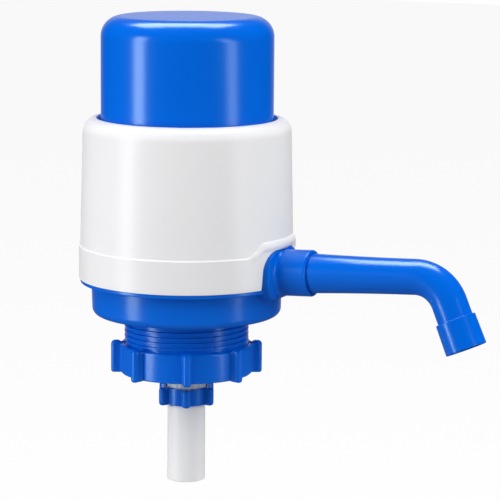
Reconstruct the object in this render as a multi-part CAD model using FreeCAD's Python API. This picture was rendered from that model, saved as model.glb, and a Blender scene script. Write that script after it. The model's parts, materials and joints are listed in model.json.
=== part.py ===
import FreeCAD, Part
import math
import os

# Hand pump for a large water bottle with a 55 mm neck. Pressing the cap squeezes a bellows, which blows air
# through a valve into the bottle. The air drives the water up the dip tube, through the elbow in the base and
# out of the spout.
#
# Millimetres, +Z up. The origin is on the pump's axis, in the plane where the bottle's rim meets the neck
# gasket. The spout leaves along +X.

V = FreeCAD.Vector
UP = V(0, 0, 1)
ORIGIN = V(0, 0, 0)

# ---- Clearances -------------------------------------------------------------------------------------------
moving_gap = 0.3            # between curved faces of pieces that move against each other
running_gap = 0.1           # round the spout's plug and under the small nut's lip, which turn without play
seated_gap = 0.05           # round a piece that sits still in its seat
overlap = 0.5               # how far joined volumes reach into each other before they are fused

# ---- Bottle neck and its seal -----------------------------------------------------------------------------
neck_bore_r = 27.8          # takes a 55 mm bottle neck
neck_wall = 1.15            # wall at the root of the outside thread
neck_length = 19.9          # from the bottle's rim to the lower end of the base's neck
neck_bevel = 0.7            # inside bevel that squeezes the grip ring
thread_depth = 0.7          # ridge height of the outside thread
gasket_thickness = 2.5
gasket_width = 5.1

# ---- Base: dish, drum and floor ---------------------------------------------------------------------------
dish_r = 44.9
dish_corner_r = 2.4
dish_draft = 0.5            # how much narrower the dish is at the bottom
dish_drop = 2.2             # dish's underside below the bottle's rim
floor_thickness = 2.6
ledge_z = 13.6              # underside of the ledge that the housing stands on
ledge_thickness = 1.35
ledge_inset = 0.6           # ledge's rim inside the housing's surface
ledge_edge_r = 0.5
spigot_height = 2.45        # ring on the ledge that centres the housing
snap_height = 0.5           # snap bead round that ring
drum_inset = 0.9            # how far the drum stands in from the dish
drum_wall = 2.2
drum_rise = 1.83            # drum's rim above the port plate
air_hole_r = 2.5
air_hole_count = 6

# ---- Water way through the base ---------------------------------------------------------------------------
water_bore_r = 6.5
water_pipe_wall = 2.1
inlet_socket_wall = 2.5
inlet_socket_length = 14.0
port_axis_z = 18.6          # height of the port's axis where it crosses the pump's axis
port_tilt = 2.8             # degrees, upwards and outwards
port_reach = 16.8           # from the plate's face to the port's lip
port_wall = 2.1
port_socket_r = 8.8
port_socket_depth = 13.0
port_lip = 0.8
port_root = 2.0             # flare where the port leaves its plate
plate_inset = 2.2           # flat face of the port plate, inside the housing's surface
plate_half_width = 19.3     # at the plate's lower edge
plate_top_half_width = 16.8
plate_margin = 0.6          # plate above and below the port
plate_drop = 0.3            # plate's centre below the port's axis
plate_corner_r = 9.6

# ---- Outer housing ----------------------------------------------------------------------------------------
housing_overhang = 6.3      # skirt beyond the dish
housing_wall = 2.2
body_draft = 1.4            # how much narrower the body is at its rim
band_step = 0.6             # how far the skirt stands out from the body
band_below_cutout = 1.4     # top of the skirt below the top of the port plate
rim_z = 91.35
rim_width = 6.5
shoulder_r = 6.3
lip_thickness = 2.4
lip_chamfer = 3.0
cutout_gap = 0.4
brow_rise = 4.8             # raised brow above the port plate
brow_top_half_width = 16.0
brow_foot_half_width = 26.0
brow_corner_r = 4.0
brow_height = 0.65
brow_width = 2.6
housing_rib_count = 12
housing_rib_width = 2.0
housing_rib_depth = 2.1

# ---- Push cap ---------------------------------------------------------------------------------------------
cap_stroke = 34.0
cap_pressed_height = 13.8   # cap left above the rim when it is pressed right down
cap_rim_gap = 1.9
cap_corner_r = 9.6
cap_wall = 2.0
cap_flange_height = 5.3
cap_flange_gap = 0.4
cap_ring_height = 5.7       # ring under the cap's top that presses on the bellows
cap_ring_wall = 2.5
cap_ring_notch = 3.0        # air notches in the ring's foot
cap_ring_notch_width = 5.0

# ---- Bellows chamber --------------------------------------------------------------------------------------
plate_gasket_thickness = 1.0
valve_plate_thickness = 2.6
bellows_fold_depth = 5.9
bellows_wall = 1.0
bellows_folds = 9
bellows_flange_thickness = 1.5
bellows_top_thickness = 1.5
bellows_clamp_gap = 0.6     # between the folds and the clamp ring
clamp_ring_width = 6.4
clamp_ring_thickness = 3.0
boss_r = 3.2
screw_count = 6
screw_r = 1.45
screw_length = 16.0
screw_head_r = 2.8
screw_head_height = 1.8
valve_hole_r = 2.2
valve_hole_circle_r = 7.0
valve_hole_count = 6
valve_disc_lap = 1.6        # disc beyond its air holes
valve_disc_thickness = 1.3
valve_stem_r = 1.3
valve_bulb = 1.0            # bulb beyond the stem
valve_bulb_height = 2.0
valve_lift = 1.0
intake_flange_width = 3.0
intake_flange_thickness = 2.0
intake_spigot_wall = 1.8
intake_spigot_length = 3.0
intake_snap = 0.8
spring_coil_r = 20.0
spring_wire_r = 0.8
spring_turns = 6
spring_sides = 6            # flats round the wire
spring_ridge_height = 2.0
spring_ridge_width = 1.5

# ---- Ring nut and grip ring -------------------------------------------------------------------------------
nut_engagement = 3.0        # thread already taken up when the pump is off its bottle
nut_height = 13.9
nut_wall = 1.65
nut_lip_thickness = 2.0
nut_lip_width = 1.45
nut_edge_r = 1.1
nut_foot_r = 0.5
nut_lug_count = 8
nut_lug_reach = 4.6
nut_lug_width = 3.9
nut_lug_over_top = 1.1
nut_lug_under_foot = 0.6
nut_lug_corner_r = 1.2
nut_lug_angle = -63.4       # degrees from +X to the first lug
nut_travel = 4.5            # how far the nut screws up until it grips
grip_ring_wall = 1.5
grip_ring_foot = 1.2
grip_ring_taper = 0.5
grip_finger_count = 12
grip_slot_width = 1.0
grip_slot_depth = 2.6

# ---- Dip tube, its connector and its nut ------------------------------------------------------------------
tube_r = 9.05
tube_wall = 1.0
tube_length = 40.6
tube_collar_width = 0.7
tube_collar_height = 1.2
tube_waist_depth = 0.2      # shallow waist under the collar, where the small nut's lip runs
tube_waist_reach = 0.8      # waist below the small nut
washer_thickness = 1.2
connector_length = 41.8     # below the bottle's rim
connector_step = 0.25       # sleeve above the thread, beyond the tube
connector_collar_width = 1.7
connector_collar_height = 2.5
tube_nut_gap = 0.2          # round the tube's collar
tube_nut_engagement = 3.9
tube_nut_height = 8.3
tube_nut_wall = 0.85
tube_nut_lug_count = 6
tube_nut_lug_reach = 3.4
tube_nut_lug_width = 3.9
tube_nut_lug_overhang = 0.2
tube_nut_lug_corner_r = 1.1
tube_nut_lug_angle = -65.0
edge = 0.4                  # small broken edges

# ---- Spout ------------------------------------------------------------------------------------------------
spout_root_step = 0.4       # spout's root beyond the port's socket
spout_r = 8.25
spout_wall = 1.85
spout_shoulder_gap = 0.4    # open groove between the port's lip and the spout's shoulder
spout_corner_run = 63.3     # from the port's lip to the corner of the spout's centre line
spout_bend = 68.3           # degrees
spout_bend_r = 18.0
spout_drop = 34.8           # from that corner to the nozzle's mouth
spout_roll = 5.0            # degrees that the spout hangs turned about the port, towards -Y
nozzle_length = 14.6
nozzle_mouth_depth = 4.5
nozzle_mouth_step = 0.6     # mouth beyond the spout tube
nozzle_wall = 1.15
nozzle_flare = 0.25
o_ring_r = 0.85             # radius of an O-ring's section
o_ring_play = 0.06          # O-ring's clearance in its groove
o_ring_groove = 2.4         # groove's width


# ---- Shapes -----------------------------------------------------------------------------------------------

def wire(points, place):
    """Closed wire through points; a third number on a point rounds that corner with a tangent arc."""
    corners = [place(p[0], p[1]) for p in points]
    entries = []
    exits = []
    arcs = []
    for i, here in enumerate(corners):
        radius = points[i][2] if len(points[i]) > 2 else 0.0
        if radius <= 0:
            entries.append(here)
            exits.append(here)
            arcs.append(None)
            continue
        back = (corners[i - 1] - here).normalize()
        ahead = (corners[(i + 1) % len(corners)] - here).normalize()
        half = back.getAngle(ahead) / 2
        inward = (back + ahead).normalize()
        middle = here + inward * (radius / math.sin(half) - radius)
        entries.append(here + back * (radius / math.tan(half)))
        exits.append(here + ahead * (radius / math.tan(half)))
        arcs.append(Part.Arc(entries[i], middle, exits[i]).toShape())
    edges = []
    for i, arc in enumerate(arcs):
        if arc:
            edges.append(arc)
        following = entries[(i + 1) % len(arcs)]
        if exits[i].distanceToPoint(following) > 1e-6:
            edges.append(Part.LineSegment(exits[i], following).toShape())
    return Part.Wire(edges)


def spin(points):
    """Solid of revolution about Z from a closed profile of (radius, height) points."""
    profile = Part.Face(wire(points, lambda r, z: V(r, 0, z)))
    return profile.revolve(ORIGIN, UP, 360)


def ring(inner_r, outer_r, bottom, top):
    """Plain ring, or a disc where the inner radius is 0."""
    return spin([(inner_r, bottom), (outer_r, bottom), (outer_r, top), (inner_r, top)])


def rod(radius, bottom, top, x=0.0, y=0.0):
    """Upright cylinder."""
    return Part.makeCylinder(radius, top - bottom, V(x, y, bottom), UP)


def slab(points, bottom, top):
    """Upright prism of an outline in the XY plane."""
    face = Part.Face(wire(points, lambda x, y: V(x, y, bottom)))
    return face.extrude(V(0, 0, top - bottom))


def slab_x(points, near, far):
    """Prism along X of an outline of (y, z) points."""
    face = Part.Face(wire(points, lambda y, z: V(near, y, z)))
    return face.extrude(V(far - near, 0, 0))


def around(shape, count, start=0.0):
    """Copies of a shape evenly spaced about Z, the first turned by start degrees."""
    copies = []
    for i in range(count):
        copy = shape.copy()
        copy.rotate(ORIGIN, UP, start + 360.0 * i / count)
        copies.append(copy)
    return copies


def polar(radius, degrees):
    """X and Y of a point on a circle about Z."""
    return radius * math.cos(math.radians(degrees)), radius * math.sin(math.radians(degrees))


def export(shape, node):
    """Write one node, as a single solid where it is one."""
    clean = shape.removeSplitter()
    if clean.ShapeType == "Compound" and len(clean.Solids) == 1:
        clean = clean.Solids[0]
    clean.exportStep(f"parts/{node}.step")


# ---- Sizes and levels that follow from the stack of pieces ------------------------------------------------

tilt = math.radians(port_tilt)
port_dir = V(math.cos(tilt), 0, math.sin(tilt))
port_start = V(0, 0, port_axis_z)
port_r = port_socket_r + port_wall
skirt_r = dish_r + housing_overhang
skirt_inner_r = skirt_r - housing_wall
body_r = skirt_r - band_step
body_inner_r = body_r - housing_wall
body_top_r = body_r - body_draft
body_inner_top_r = body_top_r - housing_wall
plate_face_x = skirt_r - plate_inset
port_length = (plate_face_x + port_reach) / math.cos(tilt)
plate_centre_z = port_axis_z + plate_face_x * math.tan(tilt) - plate_drop
plate_bottom_z = plate_centre_z - port_r - plate_margin
plate_top_z = plate_centre_z + port_r + plate_margin

neck_root_r = neck_bore_r + neck_wall
neck_end_z = -neck_length
dish_foot_z = -dish_drop
floor_z = dish_foot_z + floor_thickness
raised_floor_z = gasket_thickness + floor_thickness
drum_r = dish_r - drum_inset
drum_bore_r = drum_r - drum_wall
drum_top_z = plate_top_z + drum_rise
ledge_r = skirt_r - ledge_inset
ledge_top_z = ledge_z + ledge_thickness
spigot_r = skirt_inner_r - moving_gap
spigot_top_z = ledge_top_z + spigot_height
snap_z = ledge_top_z + spigot_height / 2
socket_bore_r = tube_r + connector_step + seated_gap * 4
inlet_socket_r = socket_bore_r + inlet_socket_wall
inlet_socket_end_z = -inlet_socket_length
inlet_socket_top_z = -1.0
water_pipe_r = water_bore_r + water_pipe_wall

screw_circle_r = drum_bore_r - boss_r + 2 * seated_gap + overlap
gasket_top_level = drum_top_z + plate_gasket_thickness
plate_top_level = gasket_top_level + valve_plate_thickness
bellows_foot_z = plate_top_level + bellows_flange_thickness
clamp_inner_r = screw_circle_r - clamp_ring_width / 2
clamp_outer_r = clamp_inner_r + clamp_ring_width
clamp_top_z = bellows_foot_z + clamp_ring_thickness
screw_tip_z = clamp_top_z - screw_length
bellows_r = clamp_inner_r - bellows_clamp_gap
bellows_valley_r = bellows_r - bellows_wall - bellows_fold_depth

skirt_bottom_z = ledge_top_z + seated_gap
band_z = plate_top_z - band_below_cutout
brow_top_z = plate_top_z + brow_rise
rim_hole_r = body_top_r - rim_width
lip_underside_z = rim_z - lip_thickness
cap_r = rim_hole_r - cap_rim_gap
cap_inner_r = cap_r - cap_wall
cap_top_z = rim_z + cap_stroke + cap_pressed_height
cap_inner_z = cap_top_z - cap_wall
cap_flange_r = body_inner_top_r - cap_flange_gap
cap_flange_top_z = lip_underside_z - moving_gap
cap_foot_z = cap_flange_top_z - cap_flange_height
cap_ring_foot_z = cap_inner_z - cap_ring_height

valve_disc_r = valve_hole_circle_r + valve_hole_r + valve_disc_lap
bellows_top_z = cap_ring_foot_z - moving_gap
bellows_ceiling_z = bellows_top_z - bellows_top_thickness
bellows_mouth_r = valve_disc_r + intake_spigot_wall + 1.4
intake_flange_r = bellows_mouth_r + intake_flange_width
cap_ring_inner_r = intake_flange_r + 1.0

nut_top_z = neck_end_z + nut_engagement
nut_foot_z = nut_top_z - nut_height
nut_lip_top_z = nut_foot_z + nut_lip_thickness
nut_bore_r = neck_root_r + thread_depth + 2 * seated_gap
nut_r = nut_bore_r + nut_wall
grip_foot_z = nut_lip_top_z + seated_gap
grip_top_z = neck_end_z - nut_travel - moving_gap

connector_end_z = -connector_length
connector_r = tube_r + connector_step
connector_top_z = inlet_socket_top_z - moving_gap
tube_top_z = connector_end_z - washer_thickness
tube_end_z = tube_top_z - tube_length
tube_collar_r = tube_r + tube_collar_width
tube_nut_bore_r = tube_collar_r + tube_nut_gap
tube_nut_r = tube_nut_bore_r + tube_nut_wall
tube_nut_top_z = connector_end_z + tube_nut_engagement
tube_nut_foot_z = tube_nut_top_z - tube_nut_height
tube_nut_lip_z = tube_top_z - tube_collar_height - seated_gap
connector_thread_r = tube_nut_bore_r - moving_gap
inlet_ring_z = (inlet_socket_end_z + connector_top_z) / 2


# ---- Pump base --------------------------------------------------------------------------------------------

def along_port(radius, start, end):
    """Cylinder on the port's axis between two distances from the pump's axis."""
    return Part.makeCylinder(radius, end - start, port_start + port_dir * start, port_dir)


def base_shell():
    """Dish, neck and drum in one turned profile, with the stepped floor, the ledge and its spigot."""
    step_r = neck_root_r + floor_thickness
    shell = spin([
        (inlet_socket_r - overlap, gasket_thickness),
        (neck_bore_r, gasket_thickness),
        (neck_bore_r, neck_end_z + 2 * neck_bevel),
        (neck_bore_r + neck_bevel, neck_end_z),
        (neck_root_r, neck_end_z),
        (neck_root_r, dish_foot_z),
        (dish_r - dish_draft, dish_foot_z, dish_corner_r),
        (dish_r, ledge_z),
        (ledge_r, ledge_z, ledge_edge_r),
        (ledge_r, ledge_top_z),
        (spigot_r, ledge_top_z),
        (spigot_r + snap_height, snap_z),
        (spigot_r, snap_z + snap_height),
        (spigot_r, spigot_top_z),
        (drum_r, spigot_top_z),
        (drum_r, drum_top_z),
        (drum_bore_r, drum_top_z),
        (drum_bore_r, floor_z, edge * 3),
        (step_r, floor_z),
        (step_r, raised_floor_z),
        (inlet_socket_r - overlap, raised_floor_z),
    ])
    return shell.cut(slab_x(plate_outline(), plate_face_x, skirt_r))


def plate_outline(extra=0.0):
    """Rounded outline of the port plate as (y, z) points, narrower at the top, grown by extra."""
    foot = plate_half_width + extra
    top = plate_top_half_width + extra
    corner = min(plate_corner_r, port_r - edge) + extra
    low = plate_bottom_z - extra
    high = plate_top_z + extra
    return [(-foot, low, corner), (foot, low, corner), (top, high, corner), (-top, high, corner)]


def port_plate():
    """Rounded plate that stands in front of the drum and fills the housing's cut-out."""
    behind = slab_x(plate_outline(), drum_bore_r / 2, plate_face_x)
    return behind.cut(rod(drum_bore_r + overlap, plate_bottom_z - 1, plate_top_z + 1))


def port_pipe():
    """Elbow from the neck's middle, and the port that leaves through the plate with a flared root."""
    flare_start = port_start + port_dir * plate_face_x / math.cos(tilt)
    flare = Part.makeCone(port_r + port_root, port_r, port_root, flare_start - port_dir * overlap, port_dir)
    return [
        rod(inlet_socket_r, inlet_socket_end_z, raised_floor_z),
        rod(water_pipe_r, raised_floor_z - overlap, port_axis_z),
        Part.makeSphere(water_pipe_r, port_start),
        along_port(water_pipe_r, 0, plate_face_x),
        along_port(port_r, plate_face_x - floor_thickness, port_length),
        flare.common(slab_x(plate_outline(), plate_face_x - 2 * overlap, plate_face_x + port_root)),
    ]


def water_way():
    """Tools that open the inlet socket, the elbow, the port's socket and round the port's lip."""
    lip_start = port_start + port_dir * (port_length - port_lip)
    lip_cone = Part.makeCone(port_r, port_r - port_lip, port_lip, lip_start, port_dir)
    return [
        rod(socket_bore_r, inlet_socket_end_z - 1, inlet_socket_top_z),
        rod(water_bore_r, inlet_socket_top_z - 1, port_axis_z),
        Part.makeSphere(water_bore_r, port_start),
        along_port(water_bore_r, 0, port_length),
        along_port(port_socket_r, port_length - port_socket_depth, port_length + 1),
        along_port(port_r + 1, port_length - port_lip, port_length + 1).cut(lip_cone),
    ]


def pump_base():
    """Blue moulding: neck and dish below, drum above, with the elbow, the port and the screw bosses."""
    boss = rod(boss_r, floor_z - overlap, drum_top_z, screw_circle_r)
    bosses = around(boss, screw_count, 180.0 / screw_count)
    pilot = rod(screw_r + seated_gap, screw_tip_z - 1, drum_top_z + 1, screw_circle_r)
    pilots = around(pilot, screw_count, 180.0 / screw_count)
    hole_circle_r = (inlet_socket_r + neck_bore_r - gasket_width) / 2
    hole = rod(air_hole_r, gasket_thickness - 1, raised_floor_z + 1, hole_circle_r)
    holes = around(hole, air_hole_count, 180.0 / air_hole_count)
    body = base_shell().fuse([port_plate()] + port_pipe() + bosses)
    return body.cut(water_way() + pilots + holes)


# ---- Outer housing ----------------------------------------------------------------------------------------

def cutout():
    """U-shaped opening round the port plate, open at the skirt's lower edge."""
    low, high = plate_outline(cutout_gap)[1:3]
    return slab_x([(-low[0], low[1]), low[:2], high, (-high[0], high[1], high[2])], 0, 2 * skirt_r)


def brow_outline(inset):
    """Low trapezium of the raised skirt over the port, drawn in by inset, as (y, z) points."""
    lean = (brow_foot_half_width - brow_top_half_width) / (brow_top_z - band_z)
    top = brow_top_z - inset
    top_half = brow_top_half_width - inset * (math.hypot(1, lean) - lean)
    foot = band_z - brow_width
    foot_half = top_half + (top - foot) * lean
    return [
        (-foot_half, foot),
        (foot_half, foot),
        (top_half, top, brow_corner_r),
        (-top_half, top, brow_corner_r),
    ]


def brow():
    """Skirt's thickness carried up over the port, edged with a low bead."""
    block = ring(body_r - 1, skirt_r + brow_height, band_z - overlap, brow_top_z + 1)
    bead = slab_x(brow_outline(0.0), 0, 2 * skirt_r).cut(slab_x(brow_outline(brow_width), -1, 3 * skirt_r))
    step = ring(body_r - 1, skirt_r, band_z - overlap, brow_top_z + 1)
    return [block.common(bead), step.common(slab_x(brow_outline(0.0), 0, 2 * skirt_r))]


def housing_shell():
    """Turned shell with the round shoulder, the lip that stops the cap and the thicker skirt."""
    return spin([
        (rim_hole_r, lip_underside_z),
        (body_inner_top_r - lip_chamfer, lip_underside_z),
        (body_inner_top_r, lip_underside_z - lip_chamfer),
        (body_inner_r, band_z),
        (skirt_inner_r, band_z - band_step),
        (skirt_inner_r, snap_z + 2 * snap_height),
        (skirt_inner_r + snap_height, snap_z + snap_height),
        (skirt_inner_r + snap_height, snap_z - snap_height),
        (skirt_inner_r, snap_z - 2 * snap_height),
        (skirt_inner_r, skirt_bottom_z),
        (skirt_r - edge, skirt_bottom_z),
        (skirt_r, skirt_bottom_z + edge),
        (skirt_r, band_z - edge),
        (skirt_r - edge, band_z),
        (body_r, band_z),
        (body_top_r, rim_z, shoulder_r),
        (rim_hole_r + edge / 2, rim_z),
        (rim_hole_r, rim_z - edge / 2),
    ])


def outer_housing():
    """White shell with a brow over the port, the cut-out that lets the port through and inner ribs."""
    rib = Part.makeBox(housing_rib_depth + overlap, housing_rib_width, band_z - spigot_top_z,
                       V(skirt_inner_r - housing_rib_depth, -housing_rib_width / 2, spigot_top_z))
    ribs = around(rib, housing_rib_count, 180.0 / housing_rib_count)
    return housing_shell().fuse(brow() + ribs).cut(cutout())


# ---- Push cap ---------------------------------------------------------------------------------------------

def push_cap():
    """Deep cup with a wide foot flange that rests under the housing's lip, and a notched pressing ring."""
    slope = lip_chamfer - moving_gap / 2
    cup = spin([
        (0, cap_top_z),
        (cap_r, cap_top_z, cap_corner_r),
        (cap_r, cap_flange_top_z),
        (cap_flange_r - slope, cap_flange_top_z),
        (cap_flange_r, cap_flange_top_z - slope),
        (cap_flange_r, cap_foot_z),
        (cap_inner_r, cap_foot_z),
        (cap_inner_r, cap_inner_z, cap_corner_r - cap_wall),
        (0, cap_inner_z),
    ])
    ring_r = cap_ring_inner_r + cap_ring_wall
    presser = ring(cap_ring_inner_r, ring_r, cap_ring_foot_z, cap_inner_z + overlap)
    notch = Part.makeBox(2 * ring_r + 2, cap_ring_notch_width, cap_ring_notch + 1,
                         V(-ring_r - 1, -cap_ring_notch_width / 2, cap_ring_foot_z - 1))
    return cup.fuse(presser.cut(around(notch, 2) + around(notch, 2, 90.0)))


# ---- Bellows, spring and valves ---------------------------------------------------------------------------

def screw_holes(bottom, top):
    """Tools that drill the screws' holes through a ring or plate."""
    hole = rod(screw_r + moving_gap, bottom - 1, top + 1, screw_circle_r)
    return around(hole, screw_count, 180.0 / screw_count)


def bellows():
    """Folded bottle of soft plastic: flat foot flange, even folds, and a top with a mouth for the intake."""
    fold = (bellows_ceiling_z - bellows_foot_z) / bellows_folds
    root_r = bellows_valley_r + bellows_wall
    folds = []
    for i in range(bellows_folds):
        low = bellows_foot_z + fold * i
        folds.append((root_r, low))
        folds.append((bellows_r, low + fold / 2))
    folds.append((root_r, bellows_ceiling_z))
    inside = [(r - bellows_wall, z) for r, z in reversed(folds)]
    flange_r = clamp_outer_r
    foot = [(bellows_valley_r, plate_top_level), (flange_r, plate_top_level), (flange_r, bellows_foot_z)]
    top = [(root_r, bellows_top_z), (bellows_mouth_r, bellows_top_z), (bellows_mouth_r, bellows_ceiling_z)]
    return spin(foot + folds + top + inside).cut(screw_holes(plate_top_level, bellows_foot_z))


def plate_gasket():
    """Flat rubber ring between the drum's rim and the valve plate."""
    flat = ring(clamp_inner_r, drum_r, drum_top_z, gasket_top_level)
    return flat.cut(screw_holes(drum_top_z, gasket_top_level))


def valve_holes(bottom, top):
    """Tools for a valve's stem hole and the air holes round it."""
    hole = rod(valve_hole_r, bottom - 1, top + 1, valve_hole_circle_r)
    return around(hole, valve_hole_count) + [rod(valve_stem_r + moving_gap, bottom - 1, top + 1)]


def valve_plate():
    """Plate that closes the drum, with the outlet valve's air holes and a ridge that centres the spring."""
    plate = ring(0, drum_r, gasket_top_level, plate_top_level)
    ridge_r = spring_coil_r - spring_wire_r - moving_gap
    ridge_top = plate_top_level + spring_ridge_height
    ridge = ring(ridge_r - spring_ridge_width, ridge_r, plate_top_level - overlap, ridge_top)
    tools = screw_holes(gasket_top_level, plate_top_level) + valve_holes(gasket_top_level, plate_top_level)
    return plate.fuse(ridge).cut(tools)


def valve(seat_z, plate_thickness):
    """Rubber umbrella valve under a plate: disc, stem through the plate and a bulb that keeps it in."""
    disc_top = seat_z - seated_gap
    disc_foot = disc_top - valve_disc_thickness
    bulb_z = seat_z + plate_thickness + valve_lift + seated_gap
    return spin([
        (0, disc_foot),
        (valve_disc_r / 2, disc_foot),
        (valve_disc_r, disc_top - edge),
        (valve_disc_r, disc_top),
        (valve_stem_r, disc_top),
        (valve_stem_r, bulb_z),
        (valve_stem_r + valve_bulb, bulb_z),
        (valve_stem_r / 2, bulb_z + valve_bulb_height),
        (0, bulb_z + valve_bulb_height),
    ])


def bellows_clamp_ring():
    """Flat ring that the screws pull down on the bellows' foot flange."""
    flat = spin([
        (clamp_inner_r, bellows_foot_z),
        (clamp_outer_r, bellows_foot_z),
        (clamp_outer_r, clamp_top_z - edge),
        (clamp_outer_r - edge, clamp_top_z),
        (clamp_inner_r, clamp_top_z),
    ])
    return flat.cut(screw_holes(bellows_foot_z, clamp_top_z))


def clamp_screws():
    """Six pan-head screws through the ring, the bellows' flange and the plate into the bosses."""
    screw = spin([
        (0, screw_tip_z),
        (screw_r, screw_tip_z + screw_r),
        (screw_r, clamp_top_z),
        (screw_head_r, clamp_top_z),
        (screw_head_r, clamp_top_z + screw_head_height / 2),
        (screw_head_r / 2, clamp_top_z + screw_head_height),
        (0, clamp_top_z + screw_head_height),
    ])
    screw.translate(V(screw_circle_r, 0, 0))
    return Part.makeCompound(around(screw, screw_count, 180.0 / screw_count))


def intake_plate():
    """Round insert that snaps into the bellows' mouth and carries the intake valve."""
    top = bellows_top_z + intake_flange_thickness
    foot = bellows_ceiling_z - intake_spigot_length
    spigot_r = bellows_mouth_r - seated_gap
    body = spin([
        (0, bellows_top_z),
        (spigot_r - intake_spigot_wall, bellows_top_z),
        (spigot_r - intake_spigot_wall, foot),
        (spigot_r, foot),
        (spigot_r + intake_snap, foot + intake_snap),
        (spigot_r + intake_snap, bellows_ceiling_z - seated_gap),
        (spigot_r, bellows_ceiling_z - seated_gap),
        (spigot_r, bellows_top_z),
        (intake_flange_r, bellows_top_z),
        (intake_flange_r, top - edge),
        (intake_flange_r - edge, top),
        (0, top),
    ])
    return body.cut(valve_holes(bellows_top_z, top))


def return_spring():
    """Compression spring from the valve plate up to the bellows' top, swept along a helix."""
    bottom = plate_top_level + spring_wire_r + seated_gap
    height = bellows_ceiling_z - spring_wire_r - seated_gap - bottom
    pitch = height / spring_turns
    path = Part.makeHelix(pitch, height, spring_coil_r)
    path.translate(V(0, 0, bottom))
    corners = []
    for i in range(spring_sides + 1):
        x, z = polar(spring_wire_r, 360.0 * (i + 0.5) / spring_sides)
        corners.append(V(x, 0, z))
    section = Part.makePolygon(corners)
    lead = math.degrees(math.atan2(pitch, 2 * math.pi * spring_coil_r))
    section.rotate(ORIGIN, V(1, 0, 0), lead)
    section.translate(V(spring_coil_r, 0, bottom))
    return Part.Wire(path.Edges).makePipeShell([section], True, True)


# ---- Neck gasket, grip ring and ring nut ------------------------------------------------------------------

def neck_gasket():
    """Rubber ring in the top of the neck that seals on the bottle's rim."""
    outer = neck_bore_r - 2 * seated_gap
    return ring(outer - gasket_width, outer, 0, gasket_thickness)


def grip_ring():
    """Slotted collar that the ring nut carries up and squeezes round the bottle's neck."""
    outer = nut_bore_r - moving_gap
    inner = outer - grip_ring_wall
    collar = spin([
        (inner, grip_foot_z),
        (outer, grip_foot_z),
        (outer, grip_foot_z + grip_ring_foot),
        (outer - grip_ring_taper, grip_top_z),
        (inner, grip_top_z),
    ])
    slot = Part.makeBox(outer + 1, grip_slot_width, grip_slot_depth + 1,
                        V(0, -grip_slot_width / 2, grip_top_z - grip_slot_depth))
    return collar.cut(around(slot, grip_finger_count))


def grip_lug(inner_r, outer_r, width, bottom, top, corner):
    """Upright lug of a nut on the +X side, its outer edges and its ends rounded off."""
    plan = slab([
        (inner_r, -width / 2),
        (outer_r, -width / 2, corner),
        (outer_r, width / 2, corner),
        (inner_r, width / 2),
    ], bottom, top)
    envelope = spin([(0, bottom), (outer_r, bottom, corner), (outer_r, top, corner), (0, top)])
    return plan.common(envelope)


def ring_nut():
    """Lugged nut on the neck's thread, with a bottom lip that carries the grip ring."""
    body = spin([
        (nut_bore_r - nut_lip_width, nut_foot_z),
        (nut_r, nut_foot_z, nut_foot_r),
        (nut_r, nut_top_z, nut_edge_r),
        (nut_bore_r, nut_top_z),
        (nut_bore_r, nut_lip_top_z),
        (nut_bore_r - nut_lip_width, nut_lip_top_z),
    ])
    lug = grip_lug(nut_r - overlap, nut_r + nut_lug_reach, nut_lug_width, nut_foot_z - nut_lug_under_foot,
                   nut_top_z + nut_lug_over_top, nut_lug_corner_r)
    return body.fuse(around(lug, nut_lug_count, nut_lug_angle))


# ---- Tube connector, seals, dip tube and tube nut ---------------------------------------------------------

def tube_connector():
    """Clear sleeve that plugs into the inlet socket and carries the tube nut's thread at its lower end."""
    collar_r = connector_r + connector_collar_width
    plug_r = socket_bore_r - seated_gap
    thread_top_z = tube_nut_top_z - 1.0
    groove_floor_r = socket_bore_r - 2 * o_ring_r - o_ring_play
    body = spin([
        (water_bore_r, connector_end_z),
        (connector_thread_r, connector_end_z),
        (connector_thread_r, thread_top_z),
        (connector_r, thread_top_z + edge),
        (connector_r, inlet_socket_end_z - connector_collar_height),
        (collar_r, inlet_socket_end_z - connector_collar_height),
        (collar_r, inlet_socket_end_z),
        (plug_r, inlet_socket_end_z),
        (plug_r, connector_top_z - 1.0),
        (plug_r - 1.0, connector_top_z),
        (water_bore_r, connector_top_z),
    ])
    groove_z = inlet_ring_z - o_ring_groove / 2
    return body.cut(ring(groove_floor_r, plug_r + 1, groove_z, groove_z + o_ring_groove))


def inlet_o_ring():
    """Seal between the connector and the inlet socket."""
    section_r = o_ring_r - o_ring_play / 2
    return Part.makeTorus(socket_bore_r - o_ring_r - o_ring_play / 2, section_r, V(0, 0, inlet_ring_z), UP)


def tube_washer():
    """Soft flat washer between the connector's end and the dip tube's collar."""
    return ring(water_bore_r, tube_collar_r, tube_top_z, connector_end_z)


def dip_tube():
    """Drinking-water tube with a flared collar at the top, which the tube nut draws up."""
    bore_r = tube_r - tube_wall
    collar_foot_z = tube_top_z - tube_collar_height
    waist_foot_z = tube_nut_foot_z - tube_waist_reach
    return spin([
        (bore_r, tube_end_z),
        (tube_r - edge, tube_end_z),
        (tube_r, tube_end_z + edge),
        (tube_r, waist_foot_z - tube_waist_depth),
        (tube_r - tube_waist_depth, waist_foot_z),
        (tube_r - tube_waist_depth, collar_foot_z),
        (tube_collar_r, collar_foot_z),
        (tube_collar_r, tube_top_z),
        (bore_r, tube_top_z),
    ])


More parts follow.
